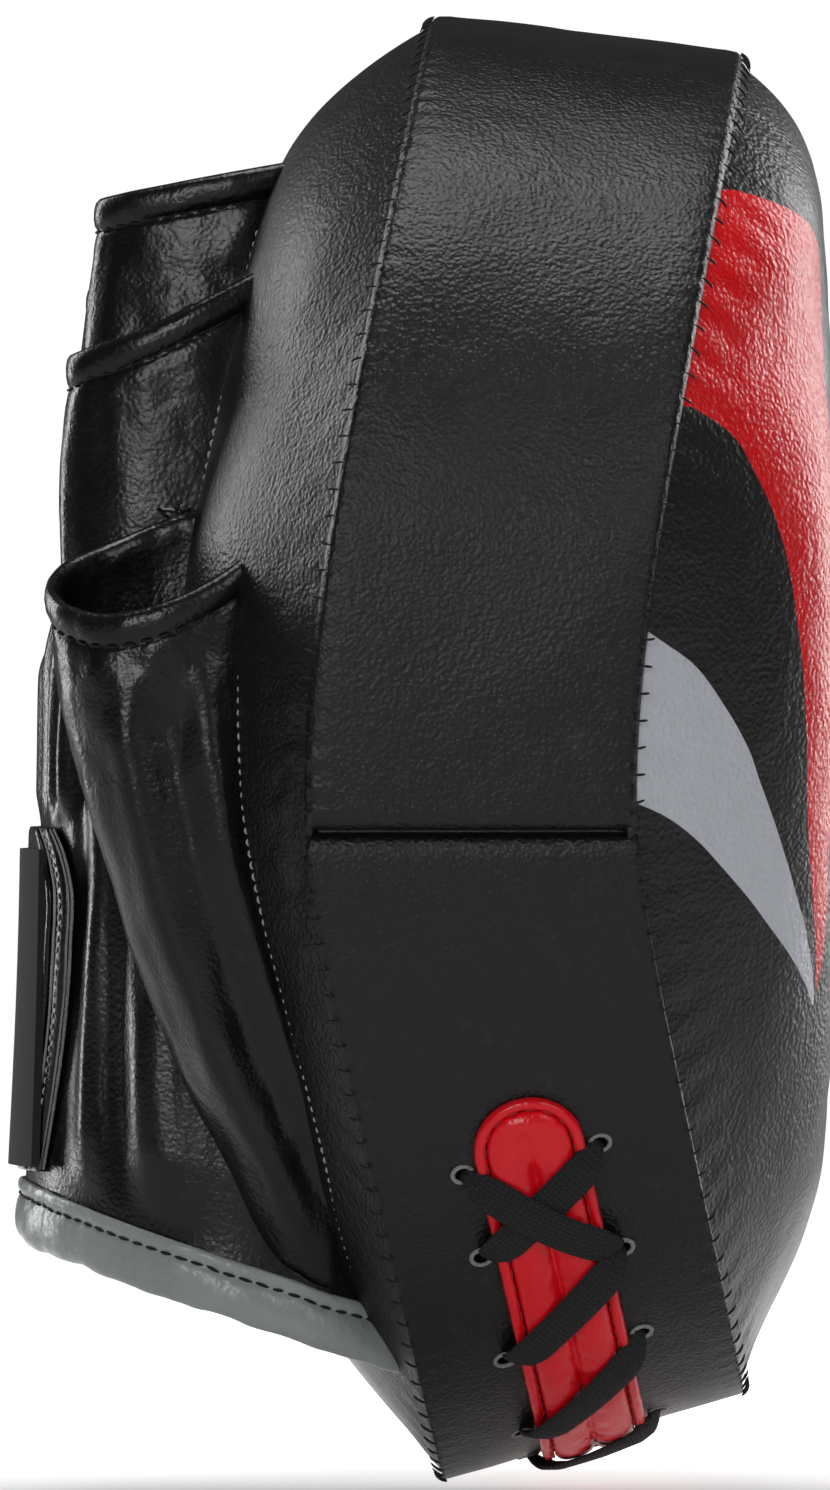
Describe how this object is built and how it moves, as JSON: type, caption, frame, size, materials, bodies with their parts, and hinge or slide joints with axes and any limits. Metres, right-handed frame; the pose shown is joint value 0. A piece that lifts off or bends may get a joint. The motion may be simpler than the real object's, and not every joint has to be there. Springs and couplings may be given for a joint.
{
  "type": "curved focus mitt",
  "caption": "Curved hand-held strike pad with a laced edge band, a half-finger leather glove sewn on its back and a hook-and-loop wrist strap.",
  "frame": {"origin": "crest of the back cover, where the middle of the palm rests", "axes": "+X the way the pad faces a punch, +Z towards the fingertips, -Y towards the thumb's side"},
  "size_m": [0.1488, 0.2008, 0.269],
  "materials": {
    "pad_leather": "satin, fine grain",
    "strike_leather": "satin, printed red and light-grey crescents",
    "glove_leather": "glossy, soft folds",
    "red_leather": "semi-gloss, padded",
    "lace_cotton": "flat braid",
    "webbing": "ribbed weave",
    "binding_tape": "smooth glossy grey-green leather binding",
    "raw_edge": "raw, light grey",
    "lining": "plain weave",
    "hook_loop": "hook and loop nap",
    "tab_rubber": "matte, ribbed",
    "foam": "closed-cell foam"
  },
  "bodies": {
    "mitt": {"strike_cover": "strike_leather", "back_cover": "pad_leather", "upper_edge_band": "pad_leather", "lower_edge_band": "pad_leather", "strike_foam": "foam", "core_foam": "foam", "backing_foam": "foam", "lacing_tongue": "red_leather", "tongue_piping": "red_leather", "edge_lace": "lace_cotton", "hand_back_panel": "glove_leather", "thumb_stall": "glove_leather", "index_stall": "glove_leather", "middle_stall": "glove_leather", "ring_stall": "glove_leather", "little_stall": "glove_leather", "palm_lining": "lining", "palm_ball": "glove_leather", "thumb_cuff_binding": "binding_tape", "outer_cuff_binding": "binding_tape", "loop_patch": "hook_loop"},
    "flap": {"cuff_flap": "glove_leather", "flap_edge_tape": "raw_edge", "wrist_strap": "webbing"},
    "strap_tip": {"strap_end": "webbing", "hook_patch": "hook_loop", "pull_tab": "tab_rubber"}
  },
  "joints": [
    {"name": "flap_fold", "type": "hinge", "parent": "mitt", "child": "flap", "pos_m": [-0.0195, -0.032, -0.037], "axis": [0, 0, 1], "range_deg": [0, 75]},
    {"name": "strap_peel", "type": "hinge", "parent": "flap", "child": "strap_tip", "pos_m": [-0.02993, 0.0136, -0.037], "axis": [0.035, 0, 0.9994], "range_deg": [0, 130]}
  ]
}
